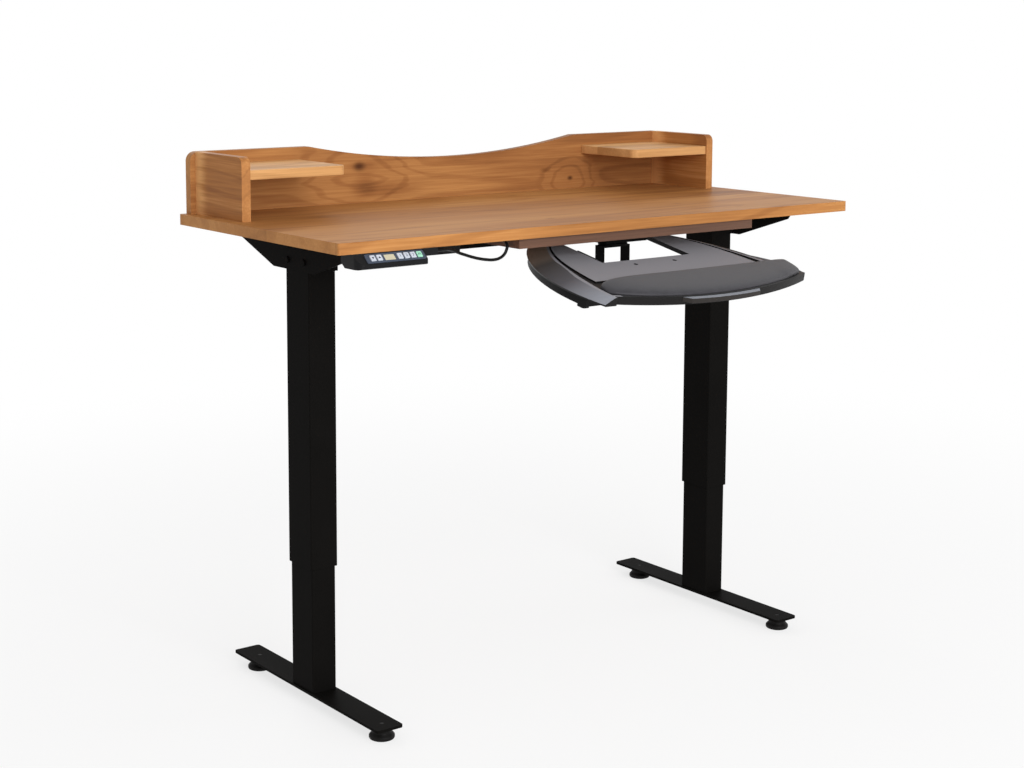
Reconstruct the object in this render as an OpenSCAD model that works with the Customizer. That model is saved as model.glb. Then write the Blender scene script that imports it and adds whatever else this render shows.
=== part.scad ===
// Height-adjustable standing desk with a low hutch, a handset and an articulated keyboard tray.
// Millimetres. X runs along the desk, +Y points to its back, +Z is up, and Z = 0 is the floor.

/* [Desktop] */
// Length of the desktop
top_w = 1219; // [1190:1:1300]
// Depth of the desktop
top_d = 559; // [557:1:600]
// Thickness of the desktop
top_t = 20; // [18:1:28]
// Height of the desktop's upper face at rest
top_z = 889; // [880:1:900]
// Radius of the desktop's vertical corners
top_corner_r = 4; // [1:1:12]

/* [Hutch] */
// Thickness of the hutch boards
hutch_t = 18; // [15:1:20]
// Height of the hutch above the desktop
hutch_h = 117; // [108:1:150]
// How far each end panel stands in from the desktop's end
hutch_in = 26; // [20:1:40]
// Depth of the end panels in front of the back board
panel_d = 176; // [165:1:190]
// How far the back board runs past each end panel
board_past = 11; // [2:1:14]
// Radius of the end panels' front top corners
panel_r = 14; // [8:1:40]
// Radius of the back board's top corners
board_r = 18; // [6:1:30]
// Length of the scoop in the back board's upper edge
scoop_w = 670; // [400:1:700]
// Depth of that scoop
scoop_h = 33; // [15:1:45]
// Height of the shelves' upper faces above the desktop
shelf_z = 93; // [70:1:98]
// Length of each shelf from its end panel
shelf_w = 207; // [150:1:230]
// How far each shelf's front edge stands behind the end panel's
shelf_back = 2; // [0.5:0.5:20]
// Radius of each shelf's free front corner
shelf_r = 15; // [4:1:25]

/* [Columns] */
// Distance between the centre lines of the two columns
column_span = 986; // [970:1:990]
// Outer tube, along X
outer_w = 56; // [55:1:58]
// Outer tube, along Y
outer_d = 80; // [79:1:84]
// Wall of both tubes
tube_wall = 1.5; // [1.5:0.1:1.8]
// Inner tube, along X
inner_w = 50; // [48:0.5:50]
// Inner tube, along Y
inner_d = 74; // [72:0.5:74]
// Height of the outer tube's lower end above the floor
outer_low_z = 261; // [250:1:280]
// Height of the inner tube's upper end above the floor
inner_high_z = 580; // [560:1:582]
// Height of the guide bushes
bush_h = 28; // [20:1:30]
// Diameter of the lifting spindle
spindle_dia = 14; // [10:1:16]
// Height of the lifting spindle's lower end
spindle_low_z = 295; // [270:1:310]
// Diameter of each motor
motor_dia = 38; // [30:1:40]
// Length of each motor
motor_len = 85; // [60:1:100]

/* [Frame] */
// Length of each side bracket, along Y
bracket_l = 412; // [400:1:440]
// Height of the side brackets at the columns, below the desktop
bracket_h = 63; // [58:1:70]
// Height of the side brackets at their tips
bracket_tip_h = 17; // [12:1:20]
// Length of the brackets' level bottom in front of the column's middle
bracket_flat_front = 63.5; // [60:0.5:80]
// Length of the brackets' level bottom behind the column's middle
bracket_flat_back = 78; // [60:0.5:90]
// Sheet thickness of the side brackets
bracket_t = 3; // [2.5:0.5:3]
// Width of the crossbeam, along Y
beam_w = 80; // [70:1:84]
// Height of the crossbeam
beam_h = 45; // [44:1:50]
// Wall of the crossbeam
beam_wall = 2; // [1.5:0.5:2]

/* [Feet] */
// Length of each foot plate
foot_l = 508; // [480:1:540]
// Width of each foot plate
foot_w = 55; // [53:1:60]
// Thickness of each foot plate
foot_t = 5; // [4.5:0.5:8]
// Height of the foot plates' lower faces above the floor
foot_z = 22; // [21:1:26]
// Distance of the front glides from the columns
glide_front = 226; // [200:1:232]
// Distance of the back glides from the columns
glide_back = 202; // [180:1:232]
// Diameter of each levelling glide
glide_dia = 46; // [42:1:50]
// Diameter of each glide's threaded stud
stud_dia = 8; // [6:1:9]

/* [Handset] */
// Distance of the face panel's middle from the desk's centre line
handset_x = 503; // [495:1:508]
// Width of the handset
handset_w = 140; // [136:1:146]
// Depth of the handset under the desktop
handset_d = 46; // [40:1:46]
// Width of the face panel
face_w = 118; // [116:1:122]
// Length of the face panel down its slope
face_h = 19; // [18:0.5:20]
// Width of each push button
button_w = 10; // [8:0.5:11]
// Length of each push button down the slope
button_h = 12; // [9:0.5:13]
// How far a button stands out of the face
button_out = 1.4; // [1.3:0.1:2]
// Distance between neighbouring preset buttons
button_pitch = 13; // [12:0.5:13.5]
// Width of the display
display_w = 21; // [16:1:23]
// Diameter of the handset's cable
cable_dia = 5.5; // [4:0.5:6]

/* [Keyboard tray] */
// Distance of the tray's middle from the desk's centre line
tray_x = 60; // [40:1:80]
// How far the tray's foremost edge stands out in front of the desktop
tray_out = 225.5; // [220:0.5:230]
// Height of the tray's front edge
tray_z = 772; // [768:1:774]
// Tilt of the tray, front edge low
tray_tilt = 11; // [9:0.5:11]
// Greatest width of the tray
plat_w = 511; // [490:1:530]
// Depth of the tray from its front lip
plat_d = 373; // [355:1:376]
// Thickness of the tray's floor
plat_t = 5; // [4:0.5:6]
// Radius of the tray's bowed front edge
plat_front_r = 560; // [500:10:900]
// Radius of the right half of the platform's front edge, which is flatter
plat_right_r = 668; // [560:1:900]
// How much farther the platform's right side stands out than its left
plat_right_more = 11; // [0:0.5:16]
// Width of the sloping side band at the front
band_front_w = 25; // [20:1:32]
// Width of the sloping side band at the rear
band_rear_w = 50; // [40:1:56]
// How far the side band falls from its inner to its outer edge
band_fall = 10; // [6:0.5:11]
// Height of the tray's front lip
lip_h = 15; // [14:0.5:15.5]
// Thickness of the tray's front lip
lip_t = 6; // [4:0.5:8]
// Length of the palm rest
palm_w = 430; // [380:1:434]
// How far behind the tray's front edge the palm rest ends
palm_back = 118; // [105:1:125]
// Height of the palm rest's crown above the tray's floor
palm_h = 18; // [12:1:22]
// Length of the grip on the front lip
grip_w = 188; // [120:1:210]
// How far the grip stands out of the lip
grip_out = 12; // [8:1:14]
// Thickness of the grip
grip_t = 9; // [6:0.5:12]
// Width of the board that carries the track
board_w = 576; // [540:1:580]
// Thickness of that board
board_t = 18; // [16:0.5:18]
// Width of the track
track_w = 100; // [90:1:104]
// Height of the track
track_h = 12; // [11.5:0.5:12.5]
// How far the track's front end lies behind the desktop's front edge
track_in = 49; // [46:1:52]
// Length of the carriage in the track
carriage_l = 70; // [66:1:74]
// How far the tray slides back under the desktop
tray_slide = 80; // [60:1:80]
// How far the lift arms' rear pivot hangs below the desktop
arm_hang = 79; // [76:1:82]
// Distance along Y between the lift arms' two pivots
arm_l = 100; // [96:1:104]
// Distance of the arms' front pivot below the tray's surface
head_below = 31; // [30:0.5:33]
// Diameter of the arms' pivot shafts
shaft_dia = 8; // [6:1:9]
// Diameter of the lock knob
knob_dia = 32; // [26:1:34]
// Length of the swing-out mouse tray, along its own side
mouse_l = 246; // [220:1:250]
// Diameter of the mouse tray's pivot pin
mouse_pin_dia = 10; // [8:1:12]

/* [Hidden] */
$fn = 64;

// Gap between pieces that move past each other
gap = 0.3;
// Radial clearance of a shaft in its bearing hole
run_fit = 0.05;
// Overrun that lets a cut pass its face
over = 1;

under_z = top_z - top_t;
col_x = column_span / 2;
hutch_w = top_w - 2 * hutch_in;
outer_high_z = under_z - bracket_t;
foot_top_z = foot_z + foot_t;
panel_in_x = hutch_w / 2 - hutch_t;
board_y = top_d / 2 - hutch_t;
panel_front_y = board_y - panel_d;
slot_w = outer_w - 2 * tube_wall;
slot_d = outer_d - 2 * tube_wall;
core_w = inner_w - 2 * tube_wall;
core_d = inner_d - 2 * tube_wall;
tray_reach = top_d / 2 + tray_out;

// The model is shifted so that its origin lies under the middle of its whole outline.
desk_y = (tray_reach - top_d / 2) / 2;

black = [0.09, 0.085, 0.08];
cherry = [0.78, 0.52, 0.30];
steel = [0.62, 0.63, 0.65];
plastic = [0.16, 0.16, 0.17];

// Corner points of a rectangle with four round corners, centred on the origin
function round_rect(w, d, r, n = 8) = [for (q = [0:3]) for (i = [0:n])
    let (a = 90 * (q + i / n), sx = (q == 0 || q == 3) ? 1 : -1, sy = q < 2 ? 1 : -1)
    [sx * (w / 2 - r) + r * cos(a), sy * (d / 2 - r) + r * sin(a)]];
function backwards(list) = [for (i = [len(list) - 1:-1:0]) list[i]];
function mirrored(p) = backwards([for (q = p) [-q[0], q[1]]]);

module plate(w, d, r, h) { linear_extrude(height = h) polygon(round_rect(w, d, r)); }
module box(x0, x1, y0, y1, z0, z1) { translate([x0, y0, z0]) cube([x1 - x0, y1 - y0, z1 - z0]); }
module rod(r, z0, z1) { translate([0, 0, z0]) cylinder(r = r, h = z1 - z0); }
module rod_x(r, x0, x1) { translate([x0, 0, 0]) rotate([0, 90, 0]) cylinder(r = r, h = x1 - x0); }
module on_side(side) { translate([side * col_x, 0, 0]) children(); }
module outward(side) { mirror([side > 0 ? 0 : 1, 0, 0]) children(); }
module at_desk() { translate([0, desk_y, 0]) children(); }

// Places of the keyboard tray's track and pivots, and of the tray's own frame
track_t = 2;
stop_gap = 3.5;
track_z = under_z - board_t - track_h;
track_y0 = -top_d / 2 + track_in;
pivot_y = track_y0 + track_t + stop_gap + carriage_l / 2;
track_y1 = pivot_y + carriage_l / 2 + tray_slide + stop_gap + track_t;
arm_z = under_z - arm_hang;
head_y = pivot_y - arm_l;
grip_top_w = -0.5;
tray_y = grip_top_w * sin(tray_tilt) - tray_reach;
head_z = tray_z + ((head_y - tray_y) * sin(tray_tilt) - head_below) / cos(tray_tilt);
arm_drop = arm_z - head_z;
tilt_v = (head_y - tray_y) * cos(tray_tilt) + (head_z - tray_z) * sin(tray_tilt);

// Wood screws: a flat head and a plain shank, from below
screw_r = 2.2;
screw_head_r = 4.2;
screw_head_h = 3;
screw_grip = 12;
bracket_screw_y = [-185, -115, 115, 185];
hutch_screw_y = [panel_front_y + 30, board_y - 30];
hutch_screw_x = hutch_w / 2 - hutch_t / 2;
hutch_screw_grip = 22;
back_screw_x = [-hutch_w / 4, 0, hutch_w / 4];
board_screw_x = board_w / 2 - 28;
board_y0 = -top_d / 2 + 8;
track_screw_x = track_w / 2 - 15;
function board_screws() = [for (s = [-1, 1]) for (y = [board_y0 + 22, track_y1 - 22])
    [tray_x + s * board_screw_x, y]];
function track_screws() = [for (s = [-1, 1]) for (y = [track_y0 + 12, track_y1 - 12])
    [tray_x + s * track_screw_x, y]];
module wood_screw(z, grip) {
    rod(screw_head_r, z, z + screw_head_h);
    rod(screw_r, z + screw_head_h, z + grip);
}
module desktop_screws() {
    for (side = [-1, 1]) for (y = bracket_screw_y) translate([side * col_x, y, 0])
        wood_screw(outer_high_z - screw_head_h, screw_head_h + bracket_t + screw_grip);
    for (side = [-1, 1]) for (y = hutch_screw_y) translate([side * hutch_screw_x, y, 0])
        wood_screw(under_z, top_t + hutch_screw_grip);
    for (x = back_screw_x) translate([x, board_y + hutch_t / 2, 0])
        wood_screw(under_z, top_t + hutch_screw_grip);
    for (p = board_screws()) translate([p[0], p[1], 0]) wood_screw(under_z - board_t, board_t + screw_grip);
}
module board_side_screws() {
    for (p = track_screws()) translate([p[0], p[1], 0]) {
        rod(screw_head_r, track_z + track_h - track_t, track_z + track_h);
        rod(screw_r, track_z + track_h, track_z + track_h + screw_grip);
    }
}
module wood_screws() {
    color(steel) {
        desktop_screws();
        board_side_screws();
    }
}

// Edge-glued hardwood panel with eased corners
module desktop() {
    color(cherry) difference() {
        translate([0, 0, under_z]) plate(top_w, top_d, top_corner_r, top_t);
        desktop_screws();
    }
}

// Back board: a prism along Y with round top corners and a shallow circular scoop
scoop_r = (pow(scoop_w / 2, 2) + pow(scoop_h, 2)) / (2 * scoop_h);
board_half = hutch_w / 2 + board_past;
function scoop_z(x) = hutch_h - scoop_h + scoop_r - sqrt(pow(scoop_r, 2) - x * x);
module back_board() {
    outline = concat(
        [[-board_half, 0], [board_half, 0]],
        [for (i = [0:8]) [board_half - board_r + board_r * cos(90 * i / 8),
            hutch_h - board_r + board_r * sin(90 * i / 8)]],
        [for (i = [0:24]) let (x = scoop_w * (0.5 - i / 24)) [x, scoop_z(x)]],
        [for (i = [0:8]) [-board_half + board_r - board_r * sin(90 * i / 8),
            hutch_h - board_r + board_r * cos(90 * i / 8)]]);
    color(cherry) difference() {
        translate([0, top_d / 2, top_z]) rotate([90, 0, 0]) linear_extrude(height = hutch_t) polygon(outline);
        desktop_screws();
    }
}

// End panel: a prism along X whose front top corner is round
module end_panel(side) {
    outline = concat([[board_y, 0], [board_y, hutch_h]],
        [for (i = [0:8]) [panel_front_y + panel_r - panel_r * sin(90 * i / 8),
            hutch_h - panel_r + panel_r * cos(90 * i / 8)]],
        [[panel_front_y, 0]]);
    color(cherry) difference() {
        outward(side) translate([panel_in_x, 0, top_z]) rotate([90, 0, 90])
            linear_extrude(height = hutch_t) polygon(outline);
        desktop_screws();
    }
}

// Shelf set between the end panel and the back board, with one round free corner
module shelf(side) {
    front_y = panel_front_y + shelf_back;
    free_x = panel_in_x - shelf_w;
    outline = concat([[panel_in_x, front_y], [panel_in_x, board_y], [free_x, board_y]],
        [for (i = [0:8]) [free_x + shelf_r - shelf_r * cos(90 * i / 8),
            front_y + shelf_r - shelf_r * sin(90 * i / 8)]]);
    color(cherry) outward(side) translate([0, 0, top_z + shelf_z - hutch_t])
        linear_extrude(height = hutch_t) polygon(outline);
}

// Crossbeam between the side brackets: a rectangular steel tube that holds the motors
bracket_w = outer_w + 2 * bracket_t;
beam_end_x = col_x - bracket_w / 2;
motor_z = under_z - beam_h / 2;
lead_hole_r = cable_dia / 2 + 1.5;
lead_hole_z = under_z - 22;
left_lead_x = -340;
right_lead_x = -300;
module crossbeam() {
    color(black) difference() {
        box(-beam_end_x, beam_end_x, -beam_w / 2, beam_w / 2, under_z - beam_h, under_z);
        box(-beam_end_x - over, beam_end_x + over, -beam_w / 2 + beam_wall, beam_w / 2 - beam_wall,
            under_z - beam_h + beam_wall, under_z - beam_wall);
        for (x = [left_lead_x, right_lead_x]) translate([x, 0, lead_hole_z]) rotate([90, 0, 0])
            rod(lead_hole_r, beam_w / 2 - beam_wall - over, beam_w / 2 + over);
    }
}

// Side bracket: folded sheet that tapers to both ends, with a boxed pocket for the column. Each arm is open
// towards the middle of the desk: an outer web and a top flange that is screwed to the desktop.
tip_round = 5;
bracket_outline = [
    [-bracket_l / 2, 0], [-bracket_l / 2, -bracket_tip_h + tip_round],
    [-bracket_l / 2 + tip_round, -bracket_tip_h - tip_round / 4],
    [-bracket_flat_front, -bracket_h], [bracket_flat_back, -bracket_h],
    [bracket_l / 2 - tip_round, -bracket_tip_h - tip_round / 4],
    [bracket_l / 2, -bracket_tip_h + tip_round], [bracket_l / 2, 0]];
module bracket_prism(w) {
    translate([-w / 2, 0, under_z]) rotate([90, 0, 90]) linear_extrude(height = w) polygon(bracket_outline);
}
column_bolt_y = 28;
column_bolt_z = [under_z - 46, under_z - 18];
column_bolt_r = 3;
column_bolt_in = 12;
module column_bolt_places(side) {
    for (y = [-1, 1]) for (z = column_bolt_z) translate([0, y * column_bolt_y, z]) outward(side) children();
}
module column_bolt_shanks(side) {
    column_bolt_places(side) rod_x(column_bolt_r, slot_w / 2 - column_bolt_in, bracket_w / 2);
}
nose_r = 12;
module motor_nose(side) { translate([0, 0, motor_z]) outward(-side) rod_x(nose_r, slot_w / 2, bracket_w / 2); }
module side_bracket(side) {
    color(black) on_side(side) difference() {
        bracket_prism(bracket_w);
        for (end = [-1, 1]) scale([1, end, 1]) outward(side)
            box(-bracket_w, bracket_w / 2 - bracket_t, outer_d / 2 + bracket_t, bracket_l, 0, outer_high_z);
        box(-outer_w / 2, outer_w / 2, -outer_d / 2, outer_d / 2, 0, outer_high_z);
        column_bolt_shanks(side);
        motor_nose(side);
        for (y = bracket_screw_y) translate([0, y, 0]) rod(screw_r, outer_high_z - over, under_z + over);
    }
}
module column_bolts() {
    color(steel) for (side = [-1, 1]) on_side(side) {
        column_bolt_shanks(side);
        column_bolt_places(side) rod_x(2 * column_bolt_r, bracket_w / 2, bracket_w / 2 + column_bolt_r);
    }
}

// Telescopic column: the wide tube hangs from the bracket and slides over the narrow one
tube_r = 3;
module tube(w, d, z0, z1) {
    difference() {
        translate([0, 0, z0]) plate(w, d, tube_r, z1 - z0);
        translate([0, 0, z0 - over])
            plate(w - 2 * tube_wall, d - 2 * tube_wall, tube_r - tube_wall, z1 - z0 + 2 * over);
    }
}
module outer_column(side) {
    color(black) on_side(side) difference() {
        tube(outer_w, outer_d, outer_low_z, outer_high_z);
        column_bolt_shanks(side);
        motor_nose(side);
    }
}
// The narrow tube ends in a welded block that the foot is bolted to.
block_h = 20;
module inner_column(side) {
    color(black) on_side(side) difference() {
        union() {
            tube(inner_w, inner_d, foot_top_z, inner_high_z);
            translate([0, 0, foot_top_z]) plate(core_w, core_d, tube_r - tube_wall, block_h);
        }
        foot_bolt_shanks();
    }
}

// Plastic bushes between the two tubes: one in the wide tube's mouth, one on the narrow tube's top
flange_h = 3;
module guide_bushes() {
    color(black) for (side = [-1, 1]) on_side(side) difference() {
        translate([0, 0, outer_low_z]) plate(slot_w, slot_d, tube_r - tube_wall, bush_h);
        translate([0, 0, outer_low_z - over])
            plate(inner_w + 2 * gap, inner_d + 2 * gap, tube_r + gap, bush_h + 2 * over);
    }
}
module top_bush(side) {
    color(black) on_side(side) difference() {
        translate([0, 0, inner_high_z - bush_h])
            plate(slot_w - 2 * gap, slot_d - 2 * gap, tube_r - tube_wall, bush_h + flange_h);
        translate([0, 0, inner_high_z - bush_h - over]) plate(inner_w, inner_d, tube_r, bush_h + over);
        rod(spindle_dia / 2 + 4, inner_high_z - over, inner_high_z + flange_h + over);
    }
}

// Lifting gear: motor and gearbox under the desktop, spindle down the column, nut in the narrow tube
gear_h = 62;
gear_z = outer_high_z - gear_h;
journal_r = spindle_dia / 2 - 1;
journal_l = 30;
nut_h = bush_h - 1;
module gearboxes() {
    color([0.2, 0.2, 0.21]) for (side = [-1, 1]) on_side(side) difference() {
        translate([0, 0, gear_z]) plate(slot_w, slot_d, tube_r - tube_wall, gear_h);
        rod(journal_r + run_fit, gear_z - over, gear_z + journal_l + 2);
        column_bolt_shanks(side);
    }
}
module spindle(side) {
    color(steel) on_side(side) {
        rod(spindle_dia / 2, spindle_low_z, gear_z - gap);
        rod(journal_r, gear_z - gap, gear_z + journal_l);
    }
}
module spindle_nut(side) {
    color([0.85, 0.84, 0.8]) on_side(side) difference() {
        translate([0, 0, inner_high_z - nut_h]) plate(core_w, core_d, tube_r - tube_wall, nut_h);
        rod(spindle_dia / 2 + run_fit, inner_high_z - nut_h - over, inner_high_z + over);
    }
}
motor_cap_l = 6;
module motor(side) {
    color([0.16, 0.16, 0.17]) on_side(side) {
        motor_nose(side);
        translate([0, 0, motor_z]) outward(-side) {
            rod_x(motor_dia / 2, bracket_w / 2, bracket_w / 2 + motor_len);
            rod_x(motor_dia / 2 - motor_cap_l, bracket_w / 2 + motor_len, bracket_w / 2 + motor_len + motor_cap_l);
        }
    }
}

// Foot: a flat plate with a threaded boss below each end, bolted up into the narrow tube's block
boss_r = 8;
boss_h = 10;
glide_ys = [-glide_front, glide_back];
foot_corner_r = 6;
foot_bolt_x = 14;
foot_bolt_y = 24;
foot_bolt_r = 3;
foot_head_h = 3;
module foot_bolt_shanks() {
    for (x = [-1, 1]) for (y = [-1, 1]) translate([x * foot_bolt_x, y * foot_bolt_y, 0]) {
        rod(2 * foot_bolt_r, foot_z, foot_z + foot_head_h);
        rod(foot_bolt_r, foot_z + foot_head_h, foot_top_z + block_h - 4);
    }
}
module foot(side) {
    color(black) on_side(side) difference() {
        union() {
            translate([0, 0, foot_z]) plate(foot_w, foot_l, foot_corner_r, foot_t);
            for (y = glide_ys) translate([0, y, 0]) rod(boss_r, foot_z - boss_h, foot_z);
        }
        for (y = glide_ys) translate([0, y, 0])
            rod(stud_dia / 2 + run_fit, foot_z - boss_h - over, foot_top_z + over);
        foot_bolt_shanks();
    }
}
module foot_bolts(side) { color(steel) on_side(side) foot_bolt_shanks(); }

// Levelling glide: a round cup that screws up over the boss on its own stud
module glide(side, y) {
    r = glide_dia / 2;
    cup_r = boss_r + 2 * gap;
    neck_r = r - 5.5;
    floor_z = foot_z - boss_h - gap;
    profile = [[0, 0], [r - 3, 0], [r - 1, 1], [r, 3], [r, 6.5], [r - 1.5, 8.5], [neck_r + 1.5, 11],
        [neck_r, 13.5], [neck_r, foot_z - gap], [cup_r, foot_z - gap], [cup_r, floor_z],
        [stud_dia / 2, floor_z], [stud_dia / 2, foot_top_z - gap], [0, foot_top_z - gap]];
    color([0.13, 0.12, 0.12]) on_side(side) translate([0, y, 0]) rotate_extrude() polygon(profile);
}

// Control box under the desktop, with a bare inlet for its mains lead
box_l = 160;
box_mid_x = (-beam_end_x + tray_x - board_w / 2) / 2 - 5;
box_x0 = box_mid_x - box_l / 2;
box_x1 = box_mid_x + box_l / 2;
box_y0 = -152;
box_y1 = -82;
box_h = 34;
lug_l = 7;
lug_h = 3;
module control_box() {
    color([0.12, 0.12, 0.12]) difference() {
        union() {
            box(box_x0, box_x1, box_y0, box_y1, under_z - box_h, under_z);
            for (x = [box_x0 - lug_l, box_x1]) box(x, x + lug_l, box_y0 + 20, box_y1 - 20, under_z - lug_h, under_z);
        }
        box(box_x0 - over, box_x0 + 18, box_y0 + 14, box_y0 + 42, under_z - box_h + 6, under_z - 7);
    }
}

// Handset: a moulded body whose face panel slopes down under the desktop's front edge
face_angle = 43;
face_y = -top_d / 2 - 8;
face_drop = 9.3;
face_z = under_z - face_drop;
body_x0 = -handset_x - handset_w / 2 - 8;
body_x1 = body_x0 + handset_w;
body_left_r = 16;
body_right_r = 3;
boot_l = 30;
module on_face() { translate([-handset_x, face_y, face_z]) rotate([face_angle, 0, 0]) children(); }
function button_u(i) = i == 0 ? -45.5 : i == 1 ? -32.3 : 9 + button_pitch * (i - 2);
display_u = -11.5;
module handset_body() {
    low = face_drop + 16.5;
    back = face_y + handset_d;
    front = face_y - 9;
    // The face panel lies on this slope, a hair above it
    run = face_h / 2 * cos(face_angle);
    rise = face_h / 2 * sin(face_angle);
    seat = -face_drop - 0.02;
    side_view = [[back, 0], [face_y + run + 1.05, 0], [face_y + run, seat + rise],
        [face_y - run, seat - rise], [face_y - run - 1.85, seat - rise - 4.2], [face_y - 7, -low + 1.5], [face_y - 3, -low],
        [back - 12, -low], [back, -low + 9]];
    plan = concat([[body_x1, back + over], [body_x0, back + over]],
        [for (i = [0:8]) [body_x0 + body_left_r * (1 - cos(90 * i / 8)), front + body_left_r * (1 - sin(90 * i / 8))]],
        [for (i = [0:8]) [body_x1 - body_right_r * (1 - sin(90 * i / 8)),
            front + body_right_r * (1 - cos(90 * i / 8))]]);
    color([0.14, 0.14, 0.15]) {
        difference() {
            intersection() {
                translate([body_x0, 0, under_z]) rotate([90, 0, 90])
                    linear_extrude(height = handset_w) polygon(side_view);
                translate([0, 0, under_z - 40]) linear_extrude(height = 50) polygon(plan);
            }
            on_face() translate([0, 0, -4]) plate(face_w - 6, face_h - 4, 2, 4 + over);
        }
        box(body_x1 - over, body_x1 + boot_l, face_y + 6, face_y + 30, under_z - 13, under_z);
    }
}
face_t = 1.6;
module handset_face() {
    color([0.27, 0.30, 0.36]) on_face() difference() {
        plate(face_w, face_h, 3, face_t);
        for (i = [0:5]) translate([button_u(i), 0, -over])
            plate(button_w + 2 * gap, button_h + 2 * gap, 1.8, face_t + 2 * over);
        translate([display_u, 0, -over]) plate(display_w, button_h, 1, face_t + 2 * over);
    }
}
display_t = 3;
module handset_display() {
    color([0.80, 0.82, 0.72]) on_face() translate([display_u, 0, face_t - display_t - gap])
        plate(display_w, button_h, 1, display_t);
}
button_root = 1.6;
module button(i) {
    tint = i == 5 ? [0.62, 0.85, 0.74] : [0.75, 0.78, 0.84];
    color(tint) on_face() translate([button_u(i), 0, -button_root])
        plate(button_w, button_h, 1.5, button_root + face_t + button_out);
}

// Held leads. Each route is a list of round numbers chosen by hand, with Z below the desktop.
cable_route = [[-410.5, -270, -7], [-398, -270, -7], [-385, -267, -7.5], [-371, -260, -9.5], [-358, -254, -13],
    [-345, -251, -18], [-330, -250, -23], [-316, -250, -27.5], [-301, -250, -31.5], [-285, -250, -34.5],
    [-269, -250, -36], [-255, -250, -34], [-245, -250, -28], [-240, -250, -20], [-238, -249, -13],
    [-238, -245, -7.5], [-238, -237, -4.5], [-238, -225, -3.5], [-238, -212, -3.5], [-238, -199, -3.5],
    [-238, -186, -3.5], [-239, -173, -4.5], [-241, -160, -7.5], [-245, -147, -11.5], [-251, -136, -14.5],
    [-260, -129, -16], [-269.5, -129, -16]];
left_lead_route = [[-340, -81.5, -22], [-340, -70, -22], [-340, -56, -22], [-340, -42, -22], [-341, -28, -22],
    [-344, -16, -22], [-351, -6, -22], [-360, -1, -22.3], [-370.5, 0, -22.5]];
right_lead_route = [[-300, -81.5, -22], [-300, -70, -22], [-300, -56, -22], [-300, -42, -22], [-298, -30, -24],
    [-291, -22, -28], [-280, -19, -33], [-266, -18, -37], [-250, -18, -39], [-220, -18, -39], [-180, -18, -39],
    [-140, -18, -39], [-100, -18, -39], [-60, -18, -39], [-20, -18, -39], [20, -18, -39], [60, -18, -39],
    [100, -18, -39], [140, -18, -39], [180, -18, -39], [220, -18, -39], [260, -18, -39], [300, -18, -39],
    [318, -17, -37], [332, -15, -33], [344, -11, -28], [354, -5, -24], [362, -1, -22.7], [370.5, 0, -22.5]];
function unit(a) = a / norm(a);
function tangent(p, i) = unit(p[min(i + 1, len(p) - 1)] - p[max(i - 1, 0)]);
function across(t) = abs(t[2]) > 0.8 ? unit(cross(t, [1, 0, 0])) : unit(cross(t, [0, 0, 1]));
// Carried from ring to ring, so that the tube doesn't twist
function side_at(p, i) = i == 0 ? across(tangent(p, 0)) :
    let (t = tangent(p, i), s = side_at(p, i - 1)) unit(s - t * (s * t));
// Triangles between n rings of m points each, closed by a cap at both ends
function tube_faces(n, m) = concat(
    [[for (k = [0:m - 1]) k]],
    [for (i = [0:n - 2]) for (k = [0:m - 1]) let (a = i * m + k, b = i * m + (k + 1) % m) [a, b + m, b]],
    [for (i = [0:n - 2]) for (k = [0:m - 1]) let (a = i * m + k, b = i * m + (k + 1) % m) [a, a + m, b + m]],
    [[for (k = [m - 1:-1:0]) (n - 1) * m + k]]);
module swept_tube(p, r, m = 8) {
    points = [for (i = [0:len(p) - 1]) let (t = tangent(p, i), s = side_at(p, i), w = cross(t, s))
        for (k = [0:m - 1]) p[i] + [0, 0, under_z] + r * (s * cos(360 * k / m) + w * sin(360 * k / m))];
    polyhedron(points = points, faces = tube_faces(len(p), m));
}
module handset_cable() { color([0.05, 0.05, 0.05]) swept_tube(cable_route, cable_dia / 2); }
module motor_leads() {
    color([0.05, 0.05, 0.05]) {
        swept_tube(left_lead_route, cable_dia / 2);
        swept_tube(right_lead_route, cable_dia / 2);
    }
}
// Saddle clips that hold the handset's cable against the desktop
clip_x = -238;
clip_ys = [-218, -192];
module cable_clips() {
    half = cable_dia / 2 + gap;
    color([0.08, 0.08, 0.08]) for (y = clip_ys) translate([clip_x, y, under_z]) difference() {
        box(-half - 2, half + 2, -3, 3, -cable_dia - 3, 0);
        box(-half, half, -4, 4, -cable_dia - 1.2, over);
    }
}

// Keyboard tray: its own frame has U along X, V back up the slope and W square to it
module in_tray() { translate([tray_x, tray_y, tray_z]) rotate([tray_tilt, 0, 0]) children(); }
plat_half = plat_w / 2;
plat_mid = 140;
plat_long = 302;
plat_rear = plat_d + grip_out;
function side_u(v, side = -1) = plat_half * sqrt(1 - pow((v - plat_mid) / plat_long, 2)) + (side > 0 ? plat_right_more : 0);
function front_v(u) = let (r = u > 0 ? plat_right_r : plat_front_r) grip_out + r - sqrt(pow(r, 2) - u * u);
function band_w(v) = band_front_w + (band_rear_w - band_front_w) * sin(90 * min(1, max(0, (v - 50) / 190)));
corner_v = 50;
corner_u = side_u(corner_v);
lip_end_v = front_v(corner_u - band_front_w);
// At the right end the lip keeps its full height to the corner, under the end of the palm rest.
right_corner_v = 64;
right_corner_u = side_u(right_corner_v, 1);
edge_n = 20;
edge_v = [for (i = [0:edge_n]) corner_v + (plat_rear - corner_v) * i / edge_n];
floor_w = -3;
floor_low_w = floor_w - plat_t;
notch_u = 108;
notch_v = tilt_v + 9;
pad_front_v = palm_back + 6;
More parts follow.
